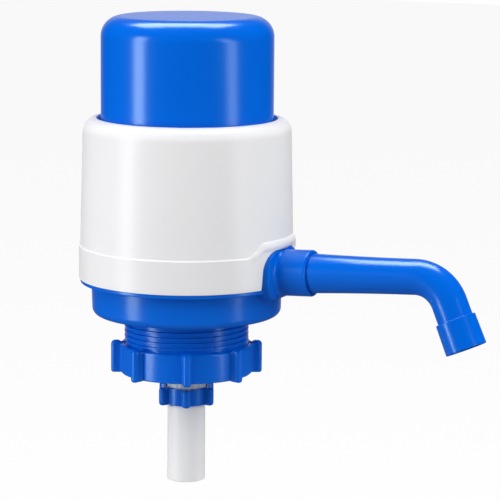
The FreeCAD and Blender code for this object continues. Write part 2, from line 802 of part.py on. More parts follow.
def tube_nut():
    """Small lugged nut that holds the dip tube's collar against the connector."""
    body = spin([
        (tube_r + running_gap, tube_nut_foot_z),
        (tube_nut_r, tube_nut_foot_z),
        (tube_nut_r, tube_nut_top_z - edge),
        (tube_nut_r - edge, tube_nut_top_z),
        (tube_nut_bore_r, tube_nut_top_z),
        (tube_nut_bore_r, tube_nut_lip_z),
        (tube_r + running_gap, tube_nut_lip_z),
    ])
    lug = grip_lug(tube_nut_r - tube_nut_wall / 2, tube_nut_r + tube_nut_lug_reach, tube_nut_lug_width,
                   tube_nut_foot_z - tube_nut_lug_overhang, tube_nut_top_z + tube_nut_lug_overhang,
                   tube_nut_lug_corner_r)
    return body.fuse(around(lug, tube_nut_lug_count, tube_nut_lug_angle))


# ---- Spout ------------------------------------------------------------------------------------------------
# The spout is drawn with the port's lip at the origin, its straight run along +X and its bend in the XZ
# plane, and is then set on the port.

ALONG = V(1, 0, 0)
bend = math.radians(spout_bend)
bend_run = spout_bend_r * math.tan(bend / 2)
straight_end = spout_corner_run - bend_run
drop_dir = V(math.cos(bend), 0, -math.sin(bend))
leg_start = ALONG * spout_corner_run + drop_dir * bend_run
nozzle_mouth = ALONG * spout_corner_run + drop_dir * spout_drop
nozzle_ledge = nozzle_mouth - drop_dir * nozzle_mouth_depth
plug_r = port_socket_r - running_gap
plug_end = 1.0 - port_socket_depth
spout_ring_x = plug_end + 1.6 * o_ring_groove


def set_on_port(shape):
    """Move a piece drawn at the origin onto the port's lip, tilted with the port and turned by the roll."""
    shape.rotate(ORIGIN, ALONG, -spout_roll)
    shape.rotate(ORIGIN, V(0, 1, 0), -port_tilt)
    shape.translate(port_start + port_dir * port_length)
    return shape


def bent_rod(root_r, radius, root_x):
    """Solid rod along the spout's centre line: tapered straight run, round bend and straight leg."""
    if root_r > radius:
        run = Part.makeCone(root_r, radius, straight_end - root_x, ALONG * root_x, ALONG)
    else:
        run = Part.makeCylinder(radius, straight_end - root_x, ALONG * root_x, ALONG)
    end_face = Part.Face(Part.Wire(Part.makeCircle(radius, ALONG * straight_end, ALONG)))
    turn = end_face.revolve(V(straight_end, 0, -spout_bend_r), V(0, 1, 0), spout_bend)
    leg_length = spout_drop - nozzle_mouth_depth - bend_run
    return [run, turn, Part.makeCylinder(radius, leg_length, leg_start, drop_dir)]


def spout_tube():
    """Bent outlet tube with a plug that turns in the port's socket."""
    plug = Part.makeCylinder(plug_r, spout_shoulder_gap - plug_end, ALONG * plug_end, ALONG)
    outside = plug.fuse(bent_rod(port_socket_r + spout_root_step, spout_r, spout_shoulder_gap))
    bore_r = spout_r - spout_wall
    channel = bent_rod(bore_r, bore_r, plug_end - 1)
    end_cut = Part.makeCylinder(bore_r, 2.0, nozzle_ledge - drop_dir, drop_dir)
    groove_start = ALONG * (spout_ring_x - o_ring_groove / 2)
    groove = Part.makeCylinder(plug_r + 1, o_ring_groove, groove_start, ALONG)
    core_r = port_socket_r - 2 * o_ring_r - o_ring_play
    core = Part.makeCylinder(core_r, o_ring_groove, groove_start, ALONG)
    return set_on_port(outside.cut(channel + [end_cut, groove.cut(core)]))


def spout_o_ring():
    """Seal that turns with the spout inside the port's socket."""
    section_r = o_ring_r - o_ring_play / 2
    mean_r = port_socket_r - o_ring_r - o_ring_play / 2
    return set_on_port(Part.makeTorus(mean_r, section_r, ALONG * spout_ring_x, ALONG))


def spout_nozzle():
    """Slightly flared sleeve pushed over the spout's end."""
    top = nozzle_mouth - drop_dir * nozzle_length
    outer_r = spout_r + seated_gap + nozzle_wall
    outer = Part.makeCone(outer_r, outer_r + nozzle_flare, nozzle_length, top, drop_dir)
    over = Part.makeCylinder(spout_r + seated_gap, nozzle_length, top - drop_dir, drop_dir)
    mouth = Part.makeCylinder(spout_r + nozzle_mouth_step, nozzle_mouth_depth + 1, nozzle_ledge, drop_dir)
    return set_on_port(outer.cut([over, mouth]))


# ---- Nodes ------------------------------------------------------------------------------------------------

nodes = {
    "pump_base": pump_base(),
    "outer_housing": outer_housing(),
    "push_cap": push_cap(),
    "plate_gasket": plate_gasket(),
    "valve_plate": valve_plate(),
    "outlet_valve": valve(gasket_top_level, valve_plate_thickness),
    "bellows": bellows(),
    "bellows_clamp_ring": bellows_clamp_ring(),
    "clamp_screws": clamp_screws(),
    "return_spring": return_spring(),
    "intake_plate": intake_plate(),
    "intake_valve": valve(bellows_top_z, intake_flange_thickness),
    "neck_gasket": neck_gasket(),
    "grip_ring": grip_ring(),
    "ring_nut": ring_nut(),
    "tube_connector": tube_connector(),
    "inlet_o_ring": inlet_o_ring(),
    "tube_washer": tube_washer(),
    "dip_tube": dip_tube(),
    "tube_nut": tube_nut(),
    "spout_tube": spout_tube(),
    "spout_o_ring": spout_o_ring(),
    "spout_nozzle": spout_nozzle(),
}

os.makedirs("parts", exist_ok=True)
for name, shape in nodes.items():
    export(shape, name)
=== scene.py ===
import json
from math import acos, asin, atan, atan2, cos, hypot, pi, radians, sin, tan

import bmesh
import bpy
import numpy as np
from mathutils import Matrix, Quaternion, Vector


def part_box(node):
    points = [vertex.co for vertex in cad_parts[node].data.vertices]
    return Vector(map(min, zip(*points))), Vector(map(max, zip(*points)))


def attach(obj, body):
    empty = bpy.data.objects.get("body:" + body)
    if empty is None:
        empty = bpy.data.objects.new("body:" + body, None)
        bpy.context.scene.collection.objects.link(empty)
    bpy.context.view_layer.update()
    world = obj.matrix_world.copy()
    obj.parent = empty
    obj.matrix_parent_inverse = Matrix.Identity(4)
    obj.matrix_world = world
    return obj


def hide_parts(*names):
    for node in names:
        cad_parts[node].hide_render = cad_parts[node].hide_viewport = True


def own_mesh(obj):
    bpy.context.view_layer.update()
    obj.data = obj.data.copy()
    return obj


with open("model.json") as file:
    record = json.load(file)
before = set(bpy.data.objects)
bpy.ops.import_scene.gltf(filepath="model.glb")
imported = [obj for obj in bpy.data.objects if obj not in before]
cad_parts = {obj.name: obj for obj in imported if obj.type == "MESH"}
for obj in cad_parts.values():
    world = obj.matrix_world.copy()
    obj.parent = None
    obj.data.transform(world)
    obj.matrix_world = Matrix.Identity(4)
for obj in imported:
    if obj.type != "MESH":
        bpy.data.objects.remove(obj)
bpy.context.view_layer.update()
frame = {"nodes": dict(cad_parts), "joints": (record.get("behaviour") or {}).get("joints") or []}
scene = bpy.context.scene
joints = {joint["name"]: joint for joint in frame["joints"]}


# ---- Pump base: dish, neck and drum ----
# The lower body is one blue polypropylene moulding: a shallow dish that carries the white housing on a thin
# ledge, an outside-threaded neck below it and the drum of the pump above it. The ledge stops just behind the
# flat face of the port plate.

support_gap = 0.0003


def circle(segments):
    """Equal angles once round."""
    return np.linspace(0, 2 * pi, segments, endpoint=False)


def unit(vector):
    """The vector at length one."""
    return vector / max(np.linalg.norm(vector), 1e-9)


def smooth(share):
    """Smooth step 3 s^2 - 2 s^3 of a share held between 0 and 1."""
    share = np.clip(share, 0, 1)
    return share * share * (3 - 2 * share)


def rounded(corners, steps=6):
    """Closed outline of (r, z) corners, each rounded by an arc of its third number in `steps` equal turns.

    Every straight side also gets a point near each of its ends, so that the shading stays flat between arcs.
    """
    corners = [tuple(corner) + (0.0,) * (3 - len(corner)) for corner in corners]
    places = np.array([corner[:2] for corner in corners])
    arcs = []
    for i, (_, _, radius) in enumerate(corners):
        back = unit(places[i - 1] - places[i])
        ahead = unit(places[(i + 1) % len(places)] - places[i])
        half = acos(float(np.clip(back @ ahead, -1, 1))) / 2
        if radius <= 0 or not 0.01 < half < 1.56:
            arcs.append(np.tile(places[i], (steps + 1, 1)))
            continue
        middle = places[i] + unit(back + ahead) * radius / sin(half)
        first = places[i] + back * radius / tan(half) - middle
        last = places[i] + ahead * radius / tan(half) - middle
        turn = pi - 2 * half
        share = np.linspace(0, 1, steps + 1)[:, None]
        arcs.append(middle + (np.sin((1 - share) * turn) * first + np.sin(share * turn) * last) / sin(turn))
    rows = []
    for i, arc in enumerate(arcs):
        gap = arcs[(i + 1) % len(arcs)][0] - arc[-1]
        support = min(0.25, support_gap / max(np.linalg.norm(gap), 1e-9))
        rows += [arc, arc[-1:] + gap * support, arc[-1:] + gap * (1 - support)]
    return np.concatenate(rows)


def polar(angle, r, z):
    """Points (r cos a, r sin a, z) at an angle a, a radius and a height."""
    return np.stack([r * np.cos(angle), r * np.sin(angle), z + 0 * angle], axis=-1)


def lathe(outline, segments):
    """Outline of (r, z) points turned about Z."""
    return polar(circle(segments), outline[:, :1], outline[:, 1:2])


def piece(name, *grids):
    """One mesh object of grids of points whose rows and columns both close on themselves."""
    points, quads, first = [], [], 0
    for grid in grids:
        index = first + np.arange(grid.shape[0] * grid.shape[1]).reshape(grid.shape[:2])
        beside = np.roll(index, -1, axis=1)
        faces = [index, beside, np.roll(beside, -1, axis=0), np.roll(index, -1, axis=0)]
        quads.append(np.stack(faces, axis=-1).reshape(-1, 4))
        points.append(grid.reshape(-1, 3))
        first += index.size
    mesh = bpy.data.meshes.new(name)
    mesh.from_pydata(np.concatenate(points).tolist(), [], np.concatenate(quads).tolist())
    shape = bmesh.new()
    shape.from_mesh(mesh)
    bmesh.ops.remove_doubles(shape, verts=shape.verts, dist=2e-6)
    bmesh.ops.recalc_face_normals(shape, faces=shape.faces)
    shape.to_mesh(mesh)
    shape.free()
    mesh.shade_smooth()
    mesh.set_sharp_from_angle(angle=radians(38))
    obj = bpy.data.objects.new(name, mesh)
    scene.collection.objects.link(obj)
    return obj


def fit(obj, body, slot, material, *nodes):
    """Give a piece its material and body, and hide the CAD nodes it stands for; the slot argument is not
    used.
    """
    obj.data.materials.append(material)
    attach(obj, body)
    if nodes:
        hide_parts(*nodes)


def linear(red, green, blue):
    """Linear colour of an 8-bit screen colour."""
    share = np.array([red, green, blue]) / 255
    light = np.where(share <= 0.04045, share / 12.92, ((share + 0.055) / 1.055) ** 2.4)
    return tuple(light.tolist()) + (1.0,)


def feed(tree, node, inputs):
    """Set a node's inputs, by name or number, to values, or link them to sockets or nodes' first outputs."""
    for name, source in inputs.items():
        if isinstance(source, bpy.types.Node):
            source = next(output for output in source.outputs if output.enabled)
        if isinstance(source, bpy.types.NodeSocket):
            tree.links.new(source, node.inputs[name])
        else:
            node.inputs[name].default_value = source


def add_node(tree, kind, inputs=None, **settings):
    """New shader node of a kind with its own settings, its inputs fed."""
    node = tree.nodes.new("ShaderNode" + kind)
    for name, value in settings.items():
        setattr(node, name, value)
    feed(tree, node, inputs or {})
    return node


def maths(tree, operation, *values):
    """Node of shader maths on numbers, sockets or nodes."""
    return add_node(tree, "Math", dict(enumerate(values)), operation=operation)


def moulded_skin():
    """Node group of a moulded plastic's skin: cloudy pigment, fine orange peel and faint rubbed streaks."""
    tree = bpy.data.node_groups.new("moulded skin", "ShaderNodeTree")
    for name, value in (("Colour", (0.5, 0.5, 0.5, 1)), ("Deep colour", (0.4, 0.4, 0.4, 1)),
                        ("Roughness", 0.3), ("Cloud scale", 30.0), ("Peel scale", 900.0),
                        ("Streak roughness", 0.08)):
        kind = "NodeSocketFloat" if isinstance(value, float) else "NodeSocketColor"
        tree.interface.new_socket(name=name, in_out="INPUT", socket_type=kind).default_value = value
    for name, kind in (("Colour", "Color"), ("Roughness", "Float"), ("Height", "Float")):
        tree.interface.new_socket(name=name, in_out="OUTPUT", socket_type="NodeSocket" + kind)
    given = tree.nodes.new("NodeGroupInput").outputs
    place = add_node(tree, "TexCoord").outputs["Object"]
    cloud = add_node(tree, "TexNoise", {"Vector": place, "Scale": given["Cloud scale"], "Detail": 3})
    colour = add_node(tree, "Mix", {"Factor": cloud, 6: given["Colour"], 7: given["Deep colour"]},
                      data_type="RGBA")
    stretch = add_node(tree, "Mapping", {"Vector": place, "Scale": (1, 1, 0.06)})
    streaks = add_node(tree, "TexNoise", {"Vector": stretch, "Scale": 420, "Detail": 4})
    rubbed = add_node(tree, "MapRange", {"Value": streaks, "From Min": 0.55, "From Max": 0.75})
    rough = maths(tree, "MULTIPLY_ADD", rubbed, given["Streak roughness"], given["Roughness"])
    peel = add_node(tree, "TexNoise", {"Vector": place, "Scale": given["Peel scale"], "Detail": 2})
    feed(tree, tree.nodes.new("NodeGroupOutput"), {"Colour": colour, "Roughness": rough, "Height": peel})
    return tree


def plastic(name, colour, deep, roughness, peel=0.02, streak=0.02, cloud=30.0, peel_scale=900.0, **shader):
    """Principled material with the moulded skin; `shader` holds values for the shader's own sockets."""
    material = bpy.data.materials.new(name)
    material.use_nodes = True
    tree = material.node_tree
    skin = add_node(tree, "Group", {
        "Colour": colour, "Deep colour": deep, "Roughness": roughness,
        "Cloud scale": cloud, "Peel scale": peel_scale, "Streak roughness": streak,
    }, node_tree=SKIN).outputs
    bump = add_node(tree, "Bump", {"Strength": peel, "Distance": 0.0002, "Height": skin["Height"]})
    own = {socket.replace("_", " "): value for socket, value in shader.items()}
    feed(tree, tree.nodes["Principled BSDF"],
         {"Base Color": skin["Colour"], "Roughness": skin["Roughness"], "Normal": bump, **own})
    return material


SKIN = moulded_skin()
BLUE = plastic("blue_polypropylene", linear(0, 103, 221), linear(0, 99, 216), 0.22, IOR=1.49,
               Specular_Tint=(0.72, 1, 1, 1))

neck_root_r = 0.02895
neck_bore_r = 0.0278
neck_foot = -0.0199
neck_bevel = 0.0007
thread_height = 0.0007
thread_depth = 0.0004
thread_pitch = 0.0025
thread_start = 0.22
thread_top = -0.0033
thread_foot = -0.019
dish_r = 0.0454
dish_foot_r = dish_r - 0.0005
dish_foot = -0.0022
dish_low = dish_foot - 0.0004
ledge_r = 0.0506
ledge_foot = 0.0131
ledge_top = 0.01495
spigot_r = 0.0487
spigot_top = 0.0174
drum_r = 0.044
drum_bore_r = 0.0418
drum_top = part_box("plate_gasket")[0].z
floor_thickness = 0.0026
floor_top = dish_foot + floor_thickness
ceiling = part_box("neck_gasket")[1].z
ceiling_top = ceiling + floor_thickness
plate_face = 0.049
ledge_sunk = 0.00006


def threaded(grid):
    """Raise the neck's right-hand thread on the grid's points that lie at the radius neck_root_r.

    The radius grows by thread_height * s(p) - thread_depth * (1 - s(p)), where s is a flat-topped cosine and
    p = z / thread_pitch - t / 2 pi - thread_start. It fades out over half a pitch at both ends.
    """
    x, y, z = grid[..., 0], grid[..., 1], grid[..., 2]
    r = np.hypot(x, y)
    phase = z / thread_pitch - np.arctan2(y, x) / (2 * pi) - thread_start
    ridge = smooth(np.cos(2 * pi * phase) * 1.5 + 0.25)
    fade = np.clip(np.minimum(z - thread_foot, thread_top - z) / (thread_pitch / 2), 0, 1)
    growth = (thread_height * ridge - thread_depth * (1 - ridge)) * fade * (np.abs(r - neck_root_r) < 1e-5)
    scale = 1 + growth / r
    return np.stack([x * scale, y * scale, z], axis=-1)


base_outline = rounded([
    (neck_bore_r, ceiling), (neck_bore_r, neck_foot + 2 * neck_bevel, 0.0004),
    (neck_bore_r + neck_bevel, neck_foot, 0.0001), (neck_root_r, neck_foot, 0.0002),
    (neck_root_r, dish_low, 0.0004), (dish_foot_r - 0.005, dish_low, 0.006),
    (dish_foot_r, dish_foot, 0.0032), (dish_r, ledge_foot, 0.0006),
    (ledge_r, ledge_foot, 0.0005), (ledge_r, ledge_top, 0.00015),
    (spigot_r, ledge_top, 0.0002), (spigot_r, spigot_top, 0.0003),
    (drum_r, spigot_top, 0.0005), (drum_r, drum_top, 0.0002),
    (drum_bore_r, drum_top, 0.0002), (drum_bore_r, floor_top, 0.0012),
    (neck_root_r + floor_thickness, floor_top, 0.0005),
    (neck_root_r + floor_thickness, ceiling_top, 0.0003), (neck_bore_r, ceiling_top),
])
neck = np.flatnonzero((np.abs(base_outline[:, 0] - neck_root_r) < 1e-6) & (base_outline[:, 1] < dish_low))
neck_levels = np.linspace(neck_foot + 0.0003, dish_low - 0.0005, 150)
neck_rows = np.column_stack([np.full(150, neck_root_r), neck_levels])
base_outline = np.concatenate([base_outline[:neck[0] + 1], neck_rows, base_outline[neck[-1]:]])
base_grid = threaded(lathe(base_outline, 320))
base_grid[..., 0] = np.minimum(base_grid[..., 0], plate_face - ledge_sunk)
fit(piece("base_dish", base_grid), "base", "blue_shell", BLUE, "pump_base")


# ---- Pump base: neck ceiling with its air holes ----
# Inside the neck the moulding closes with a thick web round the inlet socket. Six holes in it let the pumped
# air into the bottle. The holes are cored straight through, so their edges are sharp.

socket_r = 0.012
socket_bore_r = 0.0095
air_hole_r = 0.0025
pin_foot = -0.001
pin_top = 0.008
gasket_width = 0.0051
air_hole_circle = (socket_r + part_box("neck_gasket")[1].x - gasket_width) / 2
sixths = polar(np.radians(30 + 60 * np.arange(6)), 1, 0)


def drill(obj, tools):
    """Cut closed tool meshes out of a piece with the exact Boolean, and drop the tools."""
    for tool in tools:
        cutter = obj.modifiers.new("hole", "BOOLEAN")
        cutter.operation = "DIFFERENCE"
        cutter.object = tool
    bpy.context.view_layer.update()
    obj.data = bpy.data.meshes.new_from_object(obj.evaluated_get(bpy.context.evaluated_depsgraph_get()))
    obj.modifiers.clear()
    for tool in tools:
        bpy.data.objects.remove(tool)
    obj.data.shade_smooth()
    obj.data.set_sharp_from_angle(angle=radians(30))
    return obj


web = piece("neck_ceiling", lathe(rounded([
    (socket_r - 0.0005, ceiling), (neck_bore_r + 0.0005, ceiling),
    (neck_bore_r + 0.0005, ceiling_top - 0.0001), (socket_r - 0.0005, ceiling_top - 0.0001),
]), 96))
pin = lathe(np.array([(0, pin_foot), (air_hole_r, pin_foot), (air_hole_r, pin_top), (0, pin_top)]), 40)
drills = [piece("air_hole", pin + air_hole_circle * sixth) for sixth in sixths]
fit(drill(web, drills), "base", "blue_shell", BLUE)


# ---- Pump base: inlet socket, elbow and screw bosses ----
# The water way is a cored tube inside the same moulding: a socket for the connector in the neck's middle, a
# riser and a round elbow to the port. Six bosses round the drum take the screws of the valve plate.

water_bore_r = 0.0065
pipe_r = 0.0086
socket_foot = -0.014
socket_step = -0.001
port_lip = np.array(joints["spout_swivel"]["pos_m"])
port_dir = np.array(joints["spout_swivel"]["axis"])
port_level = port_lip[2] - port_lip[0] * port_dir[2] / port_dir[0]
port_start = np.array([0, 0, port_level])
elbow_r = 0.0095
elbow_end = 0.041


def bent_path(start, corner, end, radius, steps=24):
    """Points and directions along two straight runs joined at a corner by an arc of that radius.

    The arc is centred on the corner's bisector, and each of its points is the centre plus radius times a
    direction that turns evenly from one run's normal to the other's.
    """
    first = unit(corner - start)
    second = unit(end - corner)
    turn = acos(float(first @ second))
    reach = radius * tan(turn / 2)
    centre = corner + unit(second - first) * radius / cos(turn / 2)
    share = np.linspace(0, 1, steps + 1)[:, None]
    heading = (np.sin((1 - share) * turn) * first + np.sin(share * turn) * second) / sin(turn)
    normal = np.cross(first, second) / sin(turn)
    arc = centre + radius * np.cross(heading, normal[None, :])
    run = np.linspace(0, 1, 9)[:-1, None]
    before = start + (corner - first * reach - start) * run
    after = corner + second * reach + (end - corner - second * reach) * (run + 1 / 8)
    points = np.concatenate([before, arc, after])
    headings = np.concatenate([np.tile(first, (8, 1)), heading, np.tile(second, (8, 1))])
    return points, headings, normal


def tube(points, headings, normal, radii, segments=96):
    """Rings round a path: centre + radius * (cos t * normal + sin t * (heading x normal))."""
    t = circle(segments)[None, :, None]
    side = np.cross(headings, normal[None, :])[:, None, :]
    return points[:, None, :] + radii[:, None, None] * (np.cos(t) * normal + np.sin(t) * side)


riser = bent_path(np.array([0, 0, ceiling]), port_start, port_start + port_dir * elbow_end, elbow_r)
rings = np.ones(len(riser[0]))
elbow = np.concatenate([tube(*riser, rings * pipe_r, 64), tube(*riser, rings * water_bore_r, 64)[::-1]])
socket = lathe(rounded([
    (socket_bore_r, socket_foot, 0.0002), (socket_r, socket_foot, 0.0004),
    (socket_r, ceiling_top, 0.0003), (water_bore_r, ceiling_top),
    (water_bore_r, socket_step, 0.0002), (socket_bore_r, socket_step, 0.0002),
]), 128)
boss_r = 0.0032
pilot_r = 0.0015
pilot_foot = 0.0251
screw_circle = 0.0392
boss = lathe(rounded([
    (pilot_r, pilot_foot), (pilot_r, drum_top - 0.0001),
    (boss_r, drum_top - 0.0001, 0.0003), (boss_r, floor_top - 0.0002),
    (0, floor_top - 0.0002), (0, pilot_foot),
]), 32)
fit(piece("inlet_socket", socket), "base", "blue_shell", BLUE)
fit(piece("elbow_pipe", elbow), "base", "blue_shell", BLUE)
fit(piece("screw_bosses", *[boss + screw_circle * sixth for sixth in sixths]), "base", "blue_shell", BLUE)


# ---- Pump base: port plate and port ----
# The port leaves the drum through a flat plate with round corners, which fills the housing's cut-out. The
# port flares into the plate at its sides, and its lip is rounded where the spout's plug goes in.

port_r = 0.0109
plate_back = 0.041
plate_front = plate_face + 0.0018
plate_foot_half = 0.0185
plate_top_half = 0.0161
plate_half_height = port_r + 0.0006
plate_centre = port_level + plate_face * port_dir[2] / port_dir[0] - 0.0003
plate_lean = (plate_foot_half - plate_top_half) / (2 * plate_half_height)
plate_slant = hypot(1, plate_lean)
plate_corner_r = 0.0096
plate_edge_r = 0.0006
plate_inner = 0.0085
port_socket_r = 0.0088
port_socket_depth = 0.013
port_root = 0.002
port_lip_r = 0.0008
port_sunk = 0.006


def plate_half(z):
    """Half width of the plate's leaning sides at height z."""
    return plate_foot_half - (z - plate_centre + plate_half_height) * plate_lean


def plate_ring(inset, x):
    """Outline of the plate drawn in by inset at depth x: a trapezium with round corners, as (x, y, z) points.

    A side that leans is drawn in along its own normal, so it moves sideways by inset times root (1 + lean^2).
    """
    low, high = plate_centre - plate_half_height + inset, plate_centre + plate_half_height - inset
    inward = inset * plate_slant
    corner = max(plate_corner_r - inset, 0.0004)
    across = rounded([
        (-plate_half(low) + inward, low, corner),
        (plate_half(low) - inward, low, corner),
        (plate_half(high) - inward, high, corner),
        (-plate_half(high) + inward, high, corner),
    ], steps=16)
    return np.column_stack([np.full(len(across), x), across])


plate_edge = [(plate_inner, plate_front), (plate_edge_r + 0.0004, plate_front)]
plate_edge += [(plate_edge_r * (1 - sin(a)), plate_front - plate_edge_r * (1 - cos(a)))
               for a in np.linspace(0, pi / 2, 7)]
plate_edge += [(0, plate_front - 0.0013), (0, plate_back)]
front, back = (plate_ring(0, 0) * 0 + [x, 0, plate_centre] for x in (plate_front, plate_back))
plate = np.stack([front] + [plate_ring(*step) for step in plate_edge] + [back])

port_face_run = (plate_front - port_start[0]) / port_dir[0]
port_run = np.linalg.norm(port_lip - port_start)
port_outline = rounded([
    (water_bore_r, port_face_run - port_sunk), (port_r, port_face_run - port_sunk),
    (port_r, port_run, port_lip_r), (port_socket_r, port_run, 0.0004),
    (port_socket_r, port_run - port_socket_depth, 0.0002),
    (water_bore_r, port_run - port_socket_depth, 0.0002),
])
flare_rows = np.column_stack([np.full(14, port_r), port_face_run + port_root * np.linspace(-0.3, 1.05, 14)])
after_root = np.flatnonzero(port_outline[:, 1] > port_face_run + 0.003)[0]
port_outline = np.concatenate([port_outline[:after_root], flare_rows, port_outline[after_root:]])


def along_port(outline):
    """Outline of (r, distance along the port) turned about the port's axis, with its flared root.

    The flare is a hollow quarter circle, port_root wide at the sides and no wider than the plate above and
    below.
    """
    t = circle(128)
    r, run = outline[:, :1], outline[:, 1:2]
    room = np.minimum(plate_top_half / np.maximum(np.abs(np.cos(t)), 1e-6),
                      plate_half_height / np.maximum(np.abs(np.sin(t)), 1e-6)) - port_r - 0.0003
    width = np.clip(room, 0, port_root)
    rise = np.clip(1 - (run - port_face_run) / port_root, 0, 1)
    flare = width * (1 - np.sqrt(np.maximum(1 - rise * rise, 0))) * (np.abs(r - port_r) < 1e-6)
    r = r + flare
    side = np.array([0, 1, 0])
    up = np.cross(port_dir, side)
    across = r[..., None] * (np.cos(t)[None, :, None] * side + np.sin(t)[None, :, None] * up)
    return port_start + port_dir * run[..., None] + across


fit(piece("port_plate", plate), "base", "blue_shell", BLUE)
fit(piece("port", along_port(port_outline)), "base", "blue_shell", BLUE)


# ---- Drum fittings ----
# White polypropylene valve plate, clamp ring and intake insert, grey silicone valves and seals, and stainless
# screws. All of them are inside the pump and keep their plain moulded or turned forms.

WHITE_INNER = plastic("natural_polypropylene", linear(226, 228, 231), linear(216, 219, 224), 0.42)
SILICONE = plastic("grey_silicone", linear(176, 180, 184), linear(160, 165, 170), 0.55, peel=0.12,
                   peel_scale=1500.0)


def drawn_metal():
    """Bright stainless steel with fine drawing marks: noise stretched along Z in roughness and bump."""
    material = bpy.data.materials.new("stainless_steel")
    material.use_nodes = True
    tree = material.node_tree
    place = add_node(tree, "TexCoord").outputs["Object"]
    stretch = add_node(tree, "Mapping", {"Vector": place, "Scale": (1, 1, 8)})
    marks = add_node(tree, "TexNoise", {"Vector": stretch, "Scale": 900})
    tint = add_node(tree, "Mix", {"Factor": marks, 6: (0.52, 0.53, 0.54, 1), 7: (0.66, 0.67, 0.68, 1)},
                    data_type="RGBA")
    rough = add_node(tree, "MapRange", {"Value": marks, "To Min": 0.2, "To Max": 0.38})
    bump = add_node(tree, "Bump", {"Strength": 0.1, "Distance": 0.0001, "Height": marks})
    feed(tree, tree.nodes["Principled BSDF"],
         {"Metallic": 1.0, "Base Color": tint, "Roughness": rough, "Normal": bump})
    return material


def refinish(material, *nodes):
    """Put a material on CAD nodes that keep their own shape."""
    for node in nodes:
        for place in frame["nodes"][node].material_slots:
            place.material = material


STEEL = drawn_metal()
refinish(WHITE_INNER, "valve_plate", "bellows_clamp_ring", "intake_plate", "grip_ring")
refinish(SILICONE, "plate_gasket", "outlet_valve", "intake_valve", "neck_gasket", "inlet_o_ring",
         "tube_washer", "spout_o_ring")
refinish(STEEL, "clamp_screws")


# ---- Bellows ----
# Soft blow-moulded polyethylene with nine even folds. Its foot flange is clamped on the valve plate, and its
# flat top is pushed down by the cap. Here the piece rides on the base and keeps its drawn height.

MILKY = plastic("soft_polyethylene", linear(214, 220, 228), linear(198, 207, 218), 0.38,
                Subsurface_Weight=0.2, Subsurface_Radius=(1, 1, 1), Subsurface_Scale=0.001)
bellows_low, bellows_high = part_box("bellows")
bellows_folds = 9
fold_sharpness = 0.96
bellows_wall = 0.001
bellows_crest = 0.0354
bellows_valley = 0.0295
bellows_mouth = 0.014
bellows_flange = 0.0015
fold_foot = bellows_low.z + bellows_flange
fold_top = bellows_high.z - bellows_flange


def fold_line(offset, steps=24):
    """Rounded zigzag: the radius swings between valley and crest as a sharpened cosine of height."""
    share = np.linspace(0, 1, bellows_folds * steps + 1)
    swing = np.arcsin(fold_sharpness * np.cos(2 * pi * bellows_folds * share)) / asin(fold_sharpness)
    r = bellows_valley + (bellows_crest - bellows_valley) * (0.5 - swing / 2) + offset
    return np.column_stack([r, fold_foot + (fold_top - fold_foot) * share])


bellows_outline = np.concatenate([
    [(bellows_valley - bellows_wall, bellows_low.z)],
    [(bellows_high.x, bellows_low.z), (bellows_high.x, fold_foot)],
    fold_line(0),
    [(bellows_valley, bellows_high.z - 0.0004), (bellows_valley - 0.0004, bellows_high.z)],
    [(bellows_mouth, bellows_high.z), (bellows_mouth, fold_top)],
    fold_line(-bellows_wall)[::-1],
])
bellows = piece("bellows_folds", lathe(bellows_outline, 160))
fit(bellows, "base", "bellows_plastic", MILKY, "bellows")
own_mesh(bellows)


# ---- Return spring ----
# Stainless compression spring inside the bellows, wound right-handed from 1.6 mm wire, with a closed turn at
# each end that lies flat on the valve plate and under the bellows' top.

spring_low, spring_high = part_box("return_spring")
wire_r = 0.0008
coil_r = spring_high.x - wire_r * 1.1
spring_turns = 8
spring_flat = 0.08


def coil(turns, steps_per_turn=72, around=14):
    """Wire swept along a helix whose lead eases to nothing over the first and last turn."""
    t = np.linspace(0, turns, turns * steps_per_turn + 1)
    lead = np.clip(np.minimum(t, turns - t), 0, 1) ** 2 + spring_flat
    climb = np.concatenate([[0], np.cumsum((lead[1:] + lead[:-1]) / 2)])
    z = spring_low.z + wire_r + (spring_high.z - spring_low.z - 2 * wire_r) * climb / climb[-1]
    out = polar(2 * pi * t, 1, 0)
    middle = polar(2 * pi * t, coil_r, z)
    s = circle(around)[None, :, None]
    rings = middle[:, None, :] + wire_r * (np.cos(s) * out[:, None, :] + np.sin(s) * np.array([0, 0, 1]))
    ends = np.tile(middle[[-1, 0], None], (1, around, 1))
    return np.concatenate([rings, ends])


spring = piece("spring_wire", coil(spring_turns))
fit(spring, "base", "spring_steel", STEEL, "return_spring")
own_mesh(spring)


# ---- Push cap ----
# Deep blue cup that the palm presses. Its large top radius runs into a flat disc, and its foot flange is held
# under the housing's lip by a matching chamfer. A ring under the top bears on the bellows.

cap_low, cap_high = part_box("push_cap")
cap_r = 0.0408
cap_wall = 0.002
cap_shoulder = 0.0096
cap_flange_top = 0.08865
cap_chamfer = 0.00285
presser_r = 0.0205
presser_wall = 0.0025
presser_drop = 0.0057
cap_roof = cap_high.z - cap_wall
presser_foot = cap_roof - presser_drop
cap_outline = rounded([
    (0, cap_high.z), (cap_r, cap_high.z, cap_shoulder),
    (cap_r, cap_flange_top, 0.0003), (cap_high.x - cap_chamfer, cap_flange_top, 0.0003),
    (cap_high.x, cap_flange_top - cap_chamfer, 0.0003), (cap_high.x, cap_low.z, 0.0004),
    (cap_r - cap_wall, cap_low.z, 0.0003),
    (cap_r - cap_wall, cap_roof, cap_shoulder - cap_wall), (0, cap_roof),
], steps=14)
presser = lathe(rounded([
    (presser_r - presser_wall, presser_foot, 0.0003), (presser_r, presser_foot, 0.0003),
    (presser_r, cap_roof + 0.0003), (presser_r - presser_wall, cap_roof + 0.0003),
]), 96)
fit(piece("cap_shell", lathe(cap_outline, 320), presser), "cap", "blue_shell", BLUE, "push_cap")


